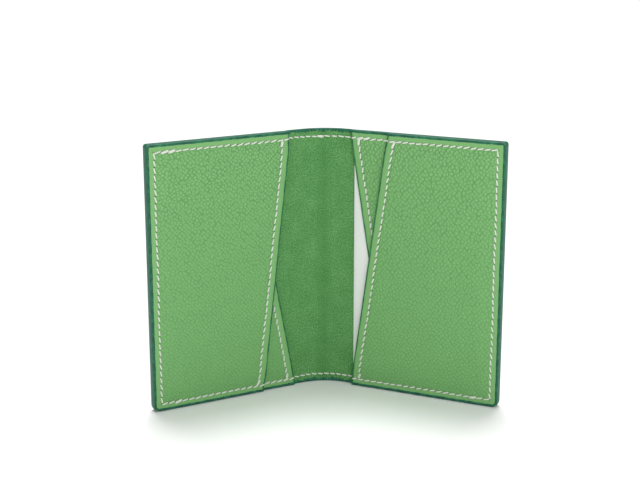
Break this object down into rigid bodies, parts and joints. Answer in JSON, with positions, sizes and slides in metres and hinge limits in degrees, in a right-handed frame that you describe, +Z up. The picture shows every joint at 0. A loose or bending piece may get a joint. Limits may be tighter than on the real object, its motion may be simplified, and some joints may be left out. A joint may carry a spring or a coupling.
{
  "type": "card holder",
  "caption": "Bi-fold leather card holder with slanted, overlapping card pockets sewn to a one-piece folding cover, standing half open on its short edges.",
  "frame": {"origin": "middle of the footprint, on the surface that the holder stands on", "axes": "+Z up along the fold, +X from the left half to the right half, -Y the way the open inside faces; at rest each half is turned 25.6 degrees forward of flat"},
  "size_m": [0.1298, 0.0334, 0.1],
  "materials": {
    "grained_leather": "pebbled grain, semi-matt, smooth along the sewn edges",
    "cover_leather": "grained outside, suede flesh side inside",
    "thread": "waxed off-white thread",
    "card": "plain, satin"
  },
  "bodies": {
    "spine": {"spine_cover": "cover_leather", "spine_top_thread": "thread", "spine_bottom_thread": "thread"},
    "left_half": {"left_cover": "cover_leather", "left_inner_pocket": "grained_leather", "left_front_pocket": "grained_leather", "left_seam_thread": "thread", "left_inner_mouth_thread": "thread", "left_front_mouth_thread": "thread"},
    "right_half": {"right_cover": "cover_leather", "right_inner_pocket": "grained_leather", "right_front_pocket": "grained_leather", "right_seam_thread": "thread", "right_inner_mouth_thread": "thread", "right_front_mouth_thread": "thread"},
    "card": {"card": "card"}
  },
  "joints": [
    {"name": "left_fold", "type": "hinge", "parent": "spine", "child": "left_half", "pos_m": [-0.0046, 0.01555, 0], "axis": [0, 0, 1], "range_deg": [-25.6, 64.4]},
    {"name": "right_fold", "type": "hinge", "parent": "spine", "child": "right_half", "pos_m": [0.0046, 0.01555, 0], "axis": [0, 0, 1], "range_deg": [-64.4, 25.6]},
    {"name": "card_slide", "type": "slide", "parent": "right_half", "child": "card", "axis": [-0.9018, 0.4321, 0], "range_m": [0, 0.0067]}
  ],
  "couplings": [
    {"joint": "right_fold", "follows": "left_fold", "ratio": -1}
  ]
}
